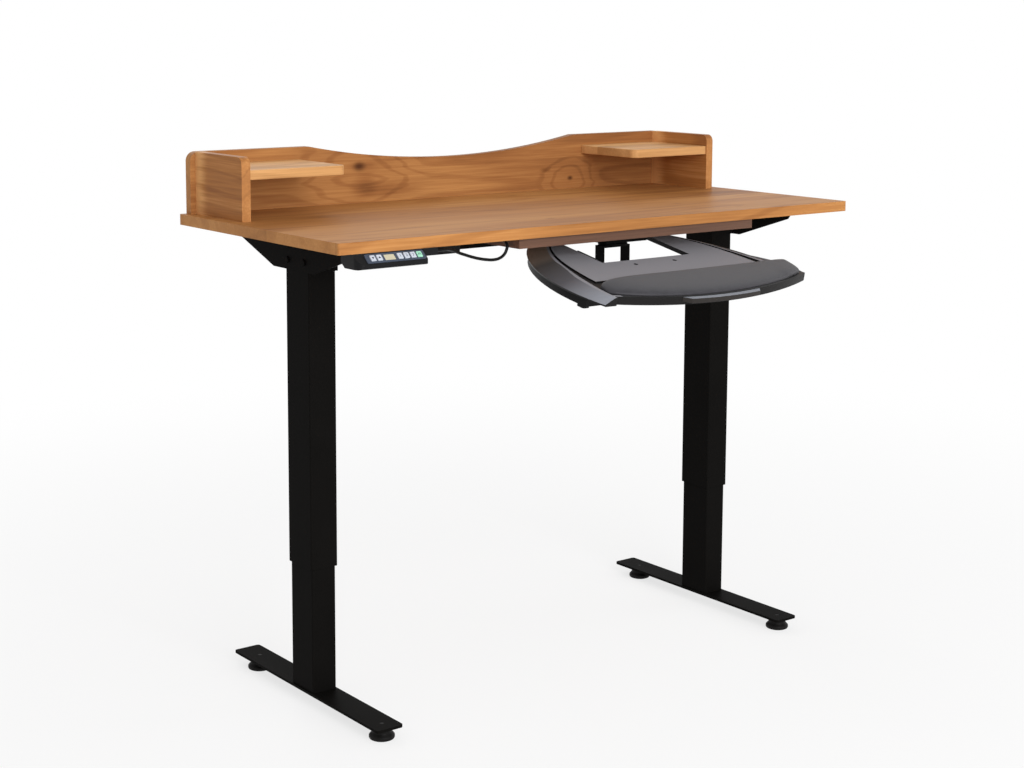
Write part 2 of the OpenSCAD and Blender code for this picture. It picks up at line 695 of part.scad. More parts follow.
// Floor outline, lapped under the lip and the side bands
function floor_side(side, lap) = [for (v = edge_v) if (v > lip_end_v + lip_t) [side_u(v, side) - band_w(v) + lap, v]];
function floor_outline(lap) = let (left = floor_side(-1, lap), right = floor_side(1, lap))
    concat([for (i = [-10:10]) let (u = (i < 0 ? left[0][0] : right[0][0]) * i / 10) [u, front_v(u) + lip_t - lap]],
        right, mirrored(left));
function band_low_w(v) = floor_low_w - (lip_h + floor_low_w) * max(0, 1 - (v - corner_v) / 40);
function fall(side, v) = side < 0 ? band_fall : band_fall * min(1, max(0, (v - palm_back) / 90));
// Section of the side band, as [distance inwards from the outer edge, W]
function band_section(v, drop) = [[band_w(v), band_low_w(v)], [band_w(v), 0], [band_w(v) - 4, 0], [2.5, -drop],
    [0, -drop - 1.5], [1.5, -lip_h]];
// The left band's front end slants back to where the lip begins. The right one ends inside the lip.
function band_end_v(side, s) = side < 0 ? corner_v + (lip_end_v - corner_v) * s / band_front_w
    : front_v(right_corner_u - s) + 1;
module side_band(side) {
    first_v = side < 0 ? corner_v : right_corner_v;
    places = [for (i = [0:edge_n]) first_v + (plat_rear - first_v) * i / edge_n];
    points = [for (j = [0:edge_n]) for (s = band_section(places[j], fall(side, places[j])))
        [side * (side_u(places[j], side) - s[0]), j == 0 ? band_end_v(side, s[0]) : places[j], s[1]]];
    faces = tube_faces(edge_n + 1, 6);
    polyhedron(points = points, faces = side > 0 ? faces : [for (f = faces) backwards(f)]);
}
module keyboard_platform() {
    lip_left_u = corner_u - band_front_w + 3;
    lip_right_u = right_corner_u - 0.5;
    lip_us = [for (i = [0:24]) -lip_left_u + (lip_left_u + lip_right_u) * i / 24];
    lip = [for (u = lip_us) [u, front_v(u)]];
    inside = [for (i = [24:-1:0]) [lip_us[i], front_v(lip_us[i]) + lip_t]];
    function pad(side) = [for (v = edge_v) if (v > pad_front_v)
        [side_u(v, side) - band_w(v) - 4 - 30 * pow((plat_rear - v) / plat_rear, 2), v]];
    color(plastic) in_tray() difference() {
        union() {
            translate([0, 0, floor_low_w]) linear_extrude(height = plat_t) polygon(floor_outline(1));
            translate([0, 0, -lip_h]) linear_extrude(height = lip_h) polygon(concat(lip, inside));
            translate([0, 0, floor_w - 1]) linear_extrude(height = 1 - floor_w) polygon(concat(mirrored(pad(-1)), pad(1)));
            side_band(1);
            side_band(-1);
        }
        box(-notch_u, notch_u, notch_v, plat_rear + over, -2 * lip_h, lip_h);
        for (p = plate_holes()) translate([p[0], p[1], 0]) {
            rod(screw_r, -2 * lip_h, lip_h);
            rod(screw_head_r, floor_w - 2, lip_h);
        }
        mouse_screw_places() rod(screw_r, floor_low_w - over, floor_w - 2);
    }
}
// Palm rest: a padded roll behind the front lip. Its left end is drawn in, and its right end lies on the
// platform's corner and is cut square.
palm_right_u = right_corner_u - 10;
palm_step_u = 198;
// Height across the roll: it climbs from the front and rounds off at the back
function ramp(t) = pow(t, 0.3) * (1 - pow(t, 30)) / 0.94;
module palm_rest() {
    n = 28;
    m = 10;
    half = (palm_right_u + palm_w / 2) / 2;
    points = [for (i = [0:n]) let (s = sin(90 * (2 * i / n - 1)), u = palm_right_u - half + half * s,
            wide = s < 0 ? 0.3 + 0.7 * sqrt(max(0, 1 - pow(-s, 8))) : 0.88 + 0.12 * sqrt(max(0, 1 - pow(s, 14))),
            full = s < 0 ? wide : 0.80 + 0.20 * sqrt(max(0, 1 - pow(s, 14))),
            low_w = u > palm_step_u ? gap : floor_w + gap,
            front = front_v(u) + lip_t + 1, mid = (front + palm_back) / 2, deep = (palm_back - front) / 2)
        for (k = [0:m]) let (a = 180 * k / m)
            [u, mid - deep * wide * cos(a), low_w + (floor_w + palm_h - low_w) * full * ramp((1 - cos(a)) / 2)]];
    color(plastic) in_tray() polyhedron(points = points, faces = [for (f = tube_faces(n + 1, m + 1)) backwards(f)]);
}
// Grip: a ledge that stands out of the middle of the lip, with slanted ends
module lip_grip() {
    ledge = concat([for (i = [-8:8]) let (u = (grip_w / 2 - grip_out) * i / 8) [u, front_v(u) - grip_out]],
        [for (i = [8:-1:-8]) let (u = grip_w * i / 16) [u, front_v(u)]]);
    color([0.40, 0.41, 0.45]) in_tray() translate([0, 0, grip_top_w - grip_t])
        linear_extrude(height = grip_t) polygon(ledge);
}

// Board and track: a hardwood spacer carries a steel C track
module track_board() {
    color(cherry * 0.8) difference() {
        box(tray_x - board_w / 2, tray_x + board_w / 2, board_y0, track_y1, under_z - board_t, under_z);
        desktop_screws();
        board_side_screws();
    }
}
slot_half = 24;
module track() {
    t = track_t;
    color(black) difference() {
        box(tray_x - track_w / 2, tray_x + track_w / 2, track_y0, track_y1, track_z, track_z + track_h);
        box(tray_x - track_w / 2 + t, tray_x + track_w / 2 - t, track_y0 + t, track_y1 - t,
            track_z + t, track_z + track_h - t);
        box(tray_x - slot_half, tray_x + slot_half, track_y0 + t, track_y1 - t, track_z - over, track_z + t + over);
        board_side_screws();
    }
}

// Carriage that slides in the track, and the bracket that swivels under it
carriage_high_z = track_z + track_h - track_t - gap;
pivot_r = 6;
neck_z = track_z - 4;
module carriage() {
    half = track_w / 2 - track_t - gap;
    color([0.25, 0.25, 0.26]) translate([tray_x, pivot_y, 0]) difference() {
        union() {
            box(-half, half, -carriage_l / 2, carriage_l / 2, track_z + track_t + gap, carriage_high_z);
            rod(slot_half - 4, neck_z, track_z + track_t + gap);
        }
        rod(pivot_r + run_fit, neck_z - over, carriage_high_z + over);
    }
}
ear_r = 12;
ear_u = 30;
ear_t = 3;
disc_t = 4;
disc_r = 28;
disc_z = neck_z - gap;
// Pair of upright ears about X, round at the pivot, with a bearing hole for the arms' shaft
module ears(u, t, y, z, r, z1) {
    for (s = [-1, 1]) difference() {
        union() {
            box(tray_x + s * (u + t / 2) - t / 2, tray_x + s * (u + t / 2) + t / 2, y - r, y + r, z, z1);
            translate([tray_x + s * (u + t / 2), y, z]) rod_x(r, -t / 2, t / 2);
        }
        translate([tray_x, y, z]) rod_x(shaft_dia / 2 + run_fit, -u - t - over, u + t + over);
    }
}
module swivel_bracket() {
    color(black) {
        translate([tray_x, pivot_y, 0]) {
            rod(pivot_r, disc_z, carriage_high_z - over);
            rod(disc_r, disc_z - disc_t, disc_z);
        }
        box(tray_x - ear_u - ear_t, tray_x + ear_u + ear_t, pivot_y - ear_r, pivot_y + ear_r,
            disc_z - 2 * disc_t, disc_z - disc_t);
        ears(ear_u, ear_t, pivot_y, arm_z, ear_r, disc_z - disc_t);
    }
}

// Lift arms: two flat arms joined by their pivot shafts
tilt_ear_u = 31;
tilt_ear_t = 3;
tilt_ear_r = 9;
arm_u = 22;
arm_t = 4;
arm_r = 7.5;
shaft_past = 1;
shaft_half = tilt_ear_u + tilt_ear_t + shaft_past;
knob_stud_r = 2.5;
stud_in = 12;
module lift_arms() {
    turn = atan2(arm_drop, arm_l);
    reach = norm([arm_l, arm_drop]);
    color(black) difference() {
        union() {
            for (s = [-1, 1]) translate([tray_x + s * (arm_u + arm_t / 2), pivot_y, arm_z]) rotate([turn, 0, 0]) {
                rod_x(arm_r, -arm_t / 2, arm_t / 2);
                box(-arm_t / 2, arm_t / 2, -reach, 0, -arm_r, arm_r);
                translate([0, -reach, 0]) rod_x(arm_r, -arm_t / 2, arm_t / 2);
            }
            translate([tray_x, pivot_y, arm_z])
                rod_x(shaft_dia / 2, -ear_u - ear_t - shaft_past, ear_u + ear_t + shaft_past);
            translate([tray_x, head_y, head_z]) rod_x(shaft_dia / 2, -shaft_half, shaft_half);
        }
        translate([tray_x, head_y, head_z])
            rod_x(knob_stud_r + run_fit, shaft_half - stud_in - over, shaft_half + over);
    }
}

// Levelling head: two small ears on the arms' front shaft, tied by a bar under it
head_ear_u = 27.5;
head_ear_t = 2.5;
head_ear_r = 10;
module tilt_head() {
    bar_z = head_z - arm_r - 4.5;
    bar_h = 3.5;
    color([0.22, 0.22, 0.23]) {
        ears(head_ear_u, head_ear_t, head_y, head_z, head_ear_r, head_z + head_ear_r - 2);
        for (s = [-1, 1]) translate([tray_x + s * (head_ear_u + head_ear_t / 2), head_y, 0])
            box(-head_ear_t / 2, head_ear_t / 2, -5, 5, bar_z, head_z - shaft_dia / 2 - 1);
        box(tray_x - head_ear_u - head_ear_t, tray_x + head_ear_u + head_ear_t, head_y - 5, head_y + 5,
            bar_z, bar_z + bar_h);
    }
}

// Bracket under the platform: a plate with two ears on the same shaft
tilt_plate_t = 3;
tilt_plate_w = floor_low_w - tilt_plate_t;
tilt_plate_half = 60;
tilt_plate_l = 110;
tilt_plate_past = 4;
plate_hole_in = 12;
plate_hole_front = 10;
plate_hole_back = 19;
function plate_holes() = [for (s = [-1, 1])
    for (v = [tilt_v - tilt_plate_l + plate_hole_front, tilt_v + tilt_plate_past - plate_hole_back])
        [s * (tilt_plate_half - plate_hole_in), v]];
module tilt_plate() {
    color(black) {
        in_tray() difference() {
            box(-tilt_plate_half, tilt_plate_half, tilt_v - tilt_plate_l, tilt_v + tilt_plate_past,
                tilt_plate_w, floor_low_w);
            for (p = plate_holes()) translate([p[0], p[1], 0]) rod(screw_r, tilt_plate_w - over, floor_low_w + over);
        }
        intersection() {
            ears(tilt_ear_u, tilt_ear_t, head_y, head_z, tilt_ear_r, head_z + 4 * tilt_ear_r);
            in_tray() box(-tilt_plate_half, tilt_plate_half, 0, tilt_v + 20, -4 * lip_h, tilt_plate_w);
        }
    }
}
// Screws that hold the platform's bracket and the mouse tray's pivot
module platform_screws() {
    color(steel) in_tray() {
        for (p = plate_holes()) translate([p[0], p[1], 0]) {
            rod(screw_r, tilt_plate_w, floor_w - 2);
            rod(screw_head_r, floor_w - 2, floor_w - gap);
        }
        mouse_screw_places() rod(screw_r, floor_low_w - mouse_flange_t, floor_w - 2);
    }
}
module lock_knob() {
    x0 = shaft_half + gap;
    r = knob_dia / 2;
    color([0.12, 0.12, 0.12]) translate([tray_x, head_y, head_z]) {
        rod_x(knob_stud_r, x0 - stud_in, x0);
        rod_x(r - 6, x0, x0 + 5);
        difference() {
            rod_x(r, x0 + 5, x0 + 19);
            for (i = [0:7]) rotate([45 * i, 0, 0]) translate([0, r + 2.5, 0]) rod_x(5, x0 + 4, x0 + 20);
        }
    }
}

// Swing-out mouse tray: it turns about a pin under the platform's floor
mouse_v0 = 94;
mouse_in_u = -66;
mouse_high_w = -lip_h - 2 * gap;
mouse_h = 13.5;
mouse_low_w = mouse_high_w - mouse_h;
mouse_floor = 3;
mouse_wall = 3;
mouse_pin_u = -84;
mouse_pin_v = 112;
mouse_hub_r = 12;
mouse_screw_out = 11;
mouse_flange_t = 3;
mouse_flange_r = 15;
pin_head_h = 2.5;
module mouse_screw_places() {
    translate([mouse_pin_u, mouse_pin_v, 0]) for (a = [0, 120, 240]) rotate([0, 0, a])
        translate([mouse_screw_out, 0, 0]) children();
}
module mouse_outline(inset) {
    polygon(concat([[mouse_in_u - inset, mouse_v0 + inset]],
        [for (i = [0:12]) let (v = mouse_v0 + inset + (mouse_l - 2 * inset) * i / 12) [5 + inset - side_u(v), v]],
        [[mouse_in_u - inset, mouse_v0 + mouse_l - inset]]));
}
module mouse_tray() {
    color([0.07, 0.07, 0.08]) in_tray() difference() {
        union() {
            difference() {
                translate([0, 0, mouse_low_w]) linear_extrude(height = mouse_h) mouse_outline(0);
                translate([0, 0, mouse_low_w + mouse_floor])
                    linear_extrude(height = mouse_h) mouse_outline(mouse_wall);
            }
            translate([mouse_pin_u, mouse_pin_v, 0]) rod(mouse_hub_r, mouse_low_w, mouse_high_w);
            translate([14 - side_u(110), 110, mouse_low_w - 5]) plate(16, 20, 5, 5.5);
        }
        translate([mouse_pin_u, mouse_pin_v, 0])
            rod(mouse_pin_dia / 2 + run_fit, mouse_low_w - over, mouse_high_w + over);
    }
}
module mouse_pivot() {
    color(black) in_tray() difference() {
        translate([mouse_pin_u, mouse_pin_v, 0]) {
            rod(mouse_flange_r, floor_low_w - mouse_flange_t, floor_low_w);
            rod(mouse_pin_dia / 2, mouse_low_w - gap, floor_low_w - mouse_flange_t);
            rod(mouse_pin_dia / 2 + 4, mouse_low_w - gap - pin_head_h, mouse_low_w - gap);
        }
        mouse_screw_places() rod(screw_r, floor_low_w - mouse_flange_t - over, floor_low_w + over);
    }
}

at_desk() desktop();
at_desk() back_board();
at_desk() end_panel(-1);  // left_end_panel
at_desk() end_panel(1);  // right_end_panel
at_desk() shelf(-1);  // left_shelf
at_desk() shelf(1);  // right_shelf
at_desk() track_board();
at_desk() crossbeam();
at_desk() side_bracket(-1);  // left_side_bracket
at_desk() side_bracket(1);  // right_side_bracket
at_desk() outer_column(-1);  // left_outer_column
at_desk() outer_column(1);  // right_outer_column
at_desk() inner_column(-1);  // left_inner_column
at_desk() inner_column(1);  // right_inner_column
at_desk() foot(-1);  // left_foot
at_desk() foot(1);  // right_foot
at_desk() foot_bolts(-1);  // left_foot_bolts
at_desk() foot_bolts(1);  // right_foot_bolts
at_desk() guide_bushes();
at_desk() top_bush(-1);  // left_top_bush
at_desk() top_bush(1);  // right_top_bush
at_desk() spindle(-1);  // left_spindle
at_desk() spindle(1);  // right_spindle
at_desk() spindle_nut(-1);  // left_spindle_nut
at_desk() spindle_nut(1);  // right_spindle_nut
at_desk() gearboxes();
at_desk() motor(-1);  // left_motor
at_desk() motor(1);  // right_motor
at_desk() glide(-1, glide_ys[0]);  // left_front_glide
at_desk() glide(-1, glide_ys[1]);  // left_back_glide
at_desk() glide(1, glide_ys[0]);  // right_front_glide
at_desk() glide(1, glide_ys[1]);  // right_back_glide
at_desk() control_box();
at_desk() handset_body();
at_desk() handset_face();
at_desk() handset_display();
at_desk() button(0);  // down_button
at_desk() button(1);  // up_button
at_desk() button(2);  // preset_1_button
at_desk() button(3);  // preset_2_button
at_desk() button(4);  // preset_3_button
at_desk() button(5);  // memory_button
at_desk() handset_cable();
at_desk() motor_leads();
at_desk() cable_clips();
at_desk() wood_screws();
at_desk() column_bolts();
at_desk() track();
at_desk() carriage();
at_desk() swivel_bracket();
at_desk() lift_arms();
at_desk() tilt_head();
at_desk() tilt_plate();
at_desk() platform_screws();
at_desk() keyboard_platform();
at_desk() palm_rest();
at_desk() lip_grip();
at_desk() lock_knob();
at_desk() mouse_pivot();
at_desk() mouse_tray();
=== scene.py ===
"""Looks for a height-adjustable desk: a cherry top and hutch on a powder-coated steel frame.

A keyboard tray on an arm, a handset and the lifting gear in the legs complete it.
"""

import math

import bpy
from mathutils import Matrix, Vector


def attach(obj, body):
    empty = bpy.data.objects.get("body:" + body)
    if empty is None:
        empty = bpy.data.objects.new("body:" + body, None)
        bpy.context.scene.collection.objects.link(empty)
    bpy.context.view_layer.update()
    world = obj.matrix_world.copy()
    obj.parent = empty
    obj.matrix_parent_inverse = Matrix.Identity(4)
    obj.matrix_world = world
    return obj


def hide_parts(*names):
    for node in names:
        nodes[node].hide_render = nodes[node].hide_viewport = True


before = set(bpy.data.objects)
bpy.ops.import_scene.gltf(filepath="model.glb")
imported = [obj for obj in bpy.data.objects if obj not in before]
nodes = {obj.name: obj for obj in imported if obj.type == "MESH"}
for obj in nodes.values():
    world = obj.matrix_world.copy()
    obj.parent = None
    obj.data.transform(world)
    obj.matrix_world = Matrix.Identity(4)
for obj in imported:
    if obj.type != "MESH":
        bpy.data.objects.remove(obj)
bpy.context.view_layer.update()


# The desktop is a panel of cherry boards glued edge to edge, planed flat, eased along its arrises
# and sprayed with satin lacquer. Its flat-sawn figure gives long arches with fine fibres between.
def linear(colour):
    """An sRGB hex value as linear red, green, blue and alpha."""
    parts = [int(colour[i : i + 2], 16) / 255 for i in (0, 2, 4)]
    return [p / 12.92 if p <= 0.04045 else ((p + 0.055) / 1.055) ** 2.4 for p in parts] + [1.0]


def add(mat, kind, sockets=(), out=0, stops=(), **settings):
    """Adds a node with its settings, values and links, and returns one of its outputs."""
    node = mat.node_tree.nodes.new("ShaderNode" + kind)
    for key, value in settings.items():
        setattr(node, key, value)
    for key, value in dict(sockets).items():
        if isinstance(value, bpy.types.NodeSocket):
            mat.node_tree.links.new(value, node.inputs[key])
        else:
            node.inputs[key].default_value = value
    for place, colour in stops:
        elements = node.color_ramp.elements
        stop = elements[0] if place == 0 else elements[-1] if place == 1 else elements.new(place)
        stop.color = linear(colour)
    return node.outputs[out]


def new_finish(name, sockets):
    """A material whose shader has these values."""
    mat = bpy.data.materials.new(name)
    mat.use_nodes = True
    shader = mat.node_tree.nodes["Principled BSDF"]
    for key, value in sockets.items():
        shader.inputs[key].default_value = value
    return mat


def connect(mat, links):
    """Links outputs to the material's shader."""
    shader = mat.node_tree.nodes["Principled BSDF"]
    for key, output in links.items():
        mat.node_tree.links.new(output, shader.inputs[key])
    return mat


def lacquered_cherry(
    name, along, across, board, seed, tones, knots=(), smudges=(), paling_span=None, late_wood=0.10
):
    """Cherry whose grain runs along one axis, in boards of one width across another."""
    # Satin lacquer over wood has an IOR of 1.5, and a lamp shows on it as a soft patch. Its gloss
    # is held low, because a room that is white all round would bleach the colour.
    mat = new_finish(name, {"IOR": 1.5, "Specular IOR Level": 0.07})
    deep = ({"X", "Y", "Z"} - {along, across}).pop()
    spot = add(mat, "TexCoord", out="Object")
    place = {axis: add(mat, "SeparateXYZ", {0: spot}, out=axis) for axis in "XYZ"}
    steps = add(mat, "Math", {0: place[across], 1: 1 / board, 2: seed}, operation="MULTIPLY_ADD")
    number = add(mat, "Math", {0: steps}, operation="FLOOR")
    own = add(mat, "TexWhiteNoise", {"W": number}, noise_dimensions="1D")
    # Each board takes its figure from another place, up to 9 m off, so no two boards match.
    start = add(mat, "Math", {0: own, 1: 9.0, 2: place[along]}, operation="MULTIPLY_ADD")

    def grain(lengthwise, crosswise):
        """Coordinates in which a pattern has so many cells per metre along and across."""
        scaled = {}
        directions = (start, lengthwise), (place[across], crosswise), (place[deep], crosswise)
        for socket, (value, cells) in enumerate(directions):
            scaled[socket] = add(mat, "Math", {0: value, 1: cells}, operation="MULTIPLY")
        return add(mat, "CombineXYZ", scaled)

    def distance(x, z, lengthwise, crosswise):
        """How far the wood lies from one place, with each direction scaled."""
        aside = {}
        directions = (place[along], x, lengthwise), (place[across], z, crosswise)
        for socket, (value, middle, scale) in enumerate(directions):
            offset = add(mat, "Math", {0: value, 1: -middle})
            aside[socket] = add(mat, "Math", {0: offset, 1: scale}, operation="MULTIPLY")
        flat = add(mat, "CombineXYZ", aside)
        return add(mat, "VectorMath", {0: flat}, out="Value", operation="LENGTH")

    # Arches are about 400 mm long and 60 mm wide, from contour lines of slow noise.
    slow = grain(1.3, 9.0)
    rings = add(
        mat, "TexNoise", {"Vector": slow, "Scale": 1.0, "Detail": 1.5, "Distortion": 0.5}
    )
    knot_mask = None
    for x, z, radius in knots:
        # A knot pushes the rings aside for about five times its own radius, in an uneven outline.
        uneven = add(mat, "TexNoise", {"Vector": slow, "Scale": 3.5, "Detail": 3.0})
        uneven = add(mat, "Math", {0: uneven, 1: 0.9})
        away = distance(x, z, 0.62, 1.0)
        away = add(mat, "Math", {0: uneven, 1: away}, operation="MULTIPLY")
        away = add(mat, "Math", {0: away, 1: 0.7}, operation="MULTIPLY")
        push = {"Value": away, "From Max": radius * 11, "To Min": 0.42, "To Max": 0.0}
        bulge = add(mat, "MapRange", push, interpolation_type="SMOOTHERSTEP")
        rings = add(mat, "Math", {0: rings, 1: bulge}, operation="ADD")
        heart = {
            "Value": away, "From Min": radius * 0.1, "From Max": radius * 1.2,
            "To Min": 0.9, "To Max": 0.0,
        }
        core = add(mat, "MapRange", heart, interpolation_type="SMOOTHSTEP")
        if knot_mask is None:
            knot_mask = core
        else:
            knot_mask = add(mat, "Math", {0: knot_mask, 1: core}, operation="MAXIMUM")
    # Each year's growth darkens slowly to its late wood and then starts pale again.
    years = add(mat, "Math", {0: rings, 1: 34.0}, operation="MULTIPLY")
    waves = add(mat, "Math", {0: years}, operation="SINE")
    arches = add(
        mat, "MapRange", {"Value": waves, "From Min": 0.3}, interpolation_type="SMOOTHSTEP"
    )
    # Fibres and pores are under 0.3 mm wide; they are drawn about 4 mm wide so that they show.
    fibres = add(
        mat, "TexNoise",
        {"Vector": grain(7.0, 250.0), "Scale": 1.0, "Detail": 4.0, "Roughness": 0.6},
    )
    clouds = add(mat, "TexNoise", {"Vector": slow, "Scale": 1.0, "Detail": 3.0, "Roughness": 0.55})
    tone = add(mat, "Math", {0: arches, 1: -late_wood}, operation="MULTIPLY")
    for pattern, share in ((fibres, 0.42), (clouds, 0.62), (own, 0.16)):
        tone = add(mat, "Math", {0: pattern, 1: share, 2: tone}, operation="MULTIPLY_ADD")
    for x, z, wide, tall in smudges:
        # Curly grain beside a knot drinks more finish and shows as a soft dark smudge.
        ragged = add(mat, "TexNoise", {"Vector": slow, "Scale": 5.0, "Detail": 3.0})
        away = distance(x, z, 1 / wide, 1 / tall)
        away = add(mat, "Math", {0: ragged, 1: 1.4, 2: away}, operation="MULTIPLY_ADD")
        dark = {"Value": away, "From Min": 0.6, "From Max": 1.8, "To Min": 0.17, "To Max": 0.0}
        smudge = add(mat, "MapRange", dark, interpolation_type="SMOOTHSTEP")
        tone = add(mat, "Math", {0: tone, 1: smudge}, operation="SUBTRACT")
    if paling_span:
        # The wood grows paler over this span along the grain, and stays paler beyond it.
        begin, full = paling_span
        streak = {"Value": place[along], "From Min": begin, "From Max": full, "To Max": 0.34}
        pale = add(mat, "MapRange", streak, interpolation_type="SMOOTHSTEP")
        tone = add(mat, "Math", {0: tone, 1: pale})
    tone = add(mat, "MapRange", {"Value": tone, "From Min": 0.32, "From Max": 0.86})
    stops = list(zip((0, 0.5, 1), tones))
    colour = add(mat, "ValToRGB", {"Fac": tone}, out="Color", stops=stops)
    # Dark gum flecks, about 20 mm long and 5 mm wide, lie here and there along the grain.
    gum = {"Vector": grain(9.0, 30.0), "Scale": 1.0}
    near = add(mat, "TexVoronoi", gum, out="Distance")
    chance = add(mat, "SeparateColor", {0: add(mat, "TexVoronoi", gum, out="Color")})
    rare = add(mat, "Math", {0: chance, 1: 0.86}, operation="GREATER_THAN")
    fleck = add(
        mat, "MapRange",
        {"Value": near, "From Min": 0.04, "From Max": 0.16, "To Min": 0.55, "To Max": 0.0},
    )
    fleck = add(mat, "Math", {0: fleck, 1: rare}, operation="MULTIPLY")
    # A glue line is hair-thin; it is drawn 1.6 mm wide so that it shows.
    half_line = 0.0008
    edge = add(mat, "Math", {0: steps}, operation="FRACT")
    edge = add(mat, "Math", {0: edge, 1: 0.5}, operation="SUBTRACT")
    edge = add(mat, "Math", {0: edge}, operation="ABSOLUTE")
    line = add(
        mat, "MapRange",
        {"Value": edge, "From Min": 0.5 - half_line / board, "From Max": 0.5, "To Max": 0.3},
    )
    # End grain takes the finish unevenly, so the sawn ends are flatter in colour. Their pale tan is
    # also painted light, for the light that falls on the lit end faces.
    facing = add(mat, "SeparateXYZ", {0: add(mat, "TexCoord", out="Normal")}, out=along)
    facing = add(mat, "Math", {0: facing}, operation="ABSOLUTE")
    end_tone_and_light = add(
        mat, "MapRange", {"Value": facing, "From Min": 0.8, "From Max": 0.95, "To Max": 0.35}
    )
    # The pale tan on the sawn ends is partly painted light; the other tints are the wood's own
    # marks.
    for mask, tint in (
        (fleck, "5a3218"), (line, "6b4124"), (knot_mask, "4a2a19"), (end_tone_and_light, "c08a57")
    ):
        if mask is not None:
            layers = {0: mask, 6: colour, 7: linear(tint)}
            colour = add(mat, "Mix", layers, out=2, data_type="RGBA")
    rough = add(mat, "MapRange", {"Value": fibres, "To Min": 0.34, "To Max": 0.52})
    bump = add(mat, "Bump", {"Height": fibres, "Strength": 0.10, "Distance": 0.0004})
    return connect(mat, {"Base Color": colour, "Roughness": rough, "Normal": bump})


def ease(name, width, angle):
    """Rounds a node's edges a little, as a cutter, a fold or a mould leaves them."""
    piece = nodes[name]
    spare = piece.data.attributes.get("custom_normal")
    if spare:
        piece.data.attributes.remove(spare)
    piece.data.shade_smooth()
    piece.modifiers.new("Join", "WELD").merge_threshold = 0.000005
    flat = piece.modifiers.new("Flat", "DECIMATE")
    flat.decimate_type = "DISSOLVE"
    flat.angle_limit = math.radians(0.5)
    edge = piece.modifiers.new("Ease", "BEVEL")
    edge.width = width
    edge.segments = 2
    edge.limit_method = "ANGLE"
    edge.angle_limit = math.radians(angle)
    edge.use_clamp_overlap = True
    piece.modifiers.new("Shade", "WEIGHTED_NORMAL")


def dress(names, mat, width=0.0, angle=32):
    """Gives nodes a finish, and eases the edges that are sharper than the angle."""
    for name in names:
        nodes[name].data.materials.clear()
        nodes[name].data.materials.append(mat)
        if width:
            ease(name, width, angle)
        else:
            nodes[name].data.shade_flat()


top_boards = lacquered_cherry(
    "cherry_top_lacquered", "X", "Y", board=0.112, seed=3.4, tones=("85552f", "ad7643", "cb965c")
)
dress(["desktop"], top_boards, 0.0012)

# The hutch is planed cherry board, 18 mm thick, with routed round corners. The back board has one
# knot and an eye beside it; the end panels' grain runs to the back, and the shelves are lighter
# sapwood. Each piece is cut from one board.
back_wood = lacquered_cherry(
    "cherry_back_board", "X", "Z", board=0.4, seed=0.1, tones=("6b4226", "9a663b", "bf8952"),
    knots=((-0.219, 0.962, 0.011), (0.327, 0.912, 0.006)),
    smudges=(
        (-0.205, 0.960, 0.050, 0.020), (-0.205, 0.922, 0.035, 0.035), (-0.150, 0.908, 0.080, 0.022)
    ),
    late_wood=0.09,
)
panel_wood = lacquered_cherry(
    "cherry_end_panel", "Y", "Z", board=0.4, seed=7.3, tones=("7f4d2b", "ae7440", "dba36a"),
    paling_span=(0.32, 0.37),
)
shelf_wood = lacquered_cherry(
    "cherry_shelf", "X", "Y", board=0.4, seed=12.2, tones=("a87849", "d3a069", "edc08a")
)
dress(["back_board"], back_wood, 0.0015)
dress(["left_end_panel", "right_end_panel"], panel_wood, 0.0015)
dress(["left_shelf", "right_shelf"], shelf_wood, 0.0015)


# The board between the desktop and the tray's track is cherry-coloured hardwood, painted dark
# red-brown as painted shade for its place under the desktop, with narrow streaks some 7 mm wide and
# a dull surface.
def surface(mat, colours, mottle, rough, wear, relief, strength, depth):
    """Links two mottled tones, a range of roughness and a relief to the shader."""
    stops = list(zip((0, 1), colours))
    return connect(
        mat,
        {
            "Base Color": add(mat, "ValToRGB", {"Fac": mottle}, out="Color", stops=stops),
            "Roughness": add(
                mat, "MapRange", {"Value": wear, "To Min": rough[0], "To Max": rough[1]}
            ),
            "Normal": add(mat, "Bump", {"Height": relief, "Strength": strength, "Distance": depth}),
        },
    )


board_with_painted_shade = new_finish("hardwood_painted_shade", {"IOR": 1.5, "Specular IOR Level": 0.35})
spot = add(
    board_with_painted_shade, "Mapping", {0: add(board_with_painted_shade, "TexCoord", out="Object"), "Scale": (6.0, 150.0, 150.0)}
)
streaks = add(board_with_painted_shade, "TexNoise", {"Vector": spot, "Scale": 1.0, "Detail": 4.0})
# These two dark tones are painted shade: the board is painted far darker than cherry for the shade
# under the desktop.
surface(
    board_with_painted_shade, ("38231a", "75523e"), mottle=streaks, rough=(0.45, 0.65), wear=streaks,
    relief=streaks, strength=0.15, depth=0.0004,
)
dress(["track_board"], board_with_painted_shade, 0.0008)


# The frame is rolled and folded steel under polyester powder coat: black with a slight brown
# cast, baked to a fine orange peel that spreads every highlight.
def powder_coat(name, colours, rough):
    """Baked powder whose orange peel, 1 mm across, is drawn nearly 2 mm so that it shows."""
    # Its gloss is held low, because a white room would turn the black steel grey.
    mat = new_finish(name, {"IOR": 1.5, "Specular IOR Level": 0.012})
    spot = add(mat, "TexCoord", out="Object")
    peel = add(mat, "TexNoise", {"Vector": spot, "Scale": 1 / 0.0018, "Detail": 2.0})
    drift = add(mat, "TexNoise", {"Vector": spot, "Scale": 9.0, "Detail": 3.0})
    return surface(
        mat, colours, mottle=drift, rough=(rough - 0.06, rough + 0.06), wear=drift,
        relief=peel, strength=0.12, depth=0.0003,
    )


frame_coat = powder_coat("powder_coat_black", ("0d0c0b", "131211"), 0.5)
dress(["crossbeam"], frame_coat, 0.0015)
dress(["left_side_bracket", "right_side_bracket", "left_foot", "right_foot"], frame_coat, 0.0012)
dress(
    ["left_outer_column", "right_outer_column", "left_inner_column", "right_inner_column"],
    frame_coat, 0.0004,
)


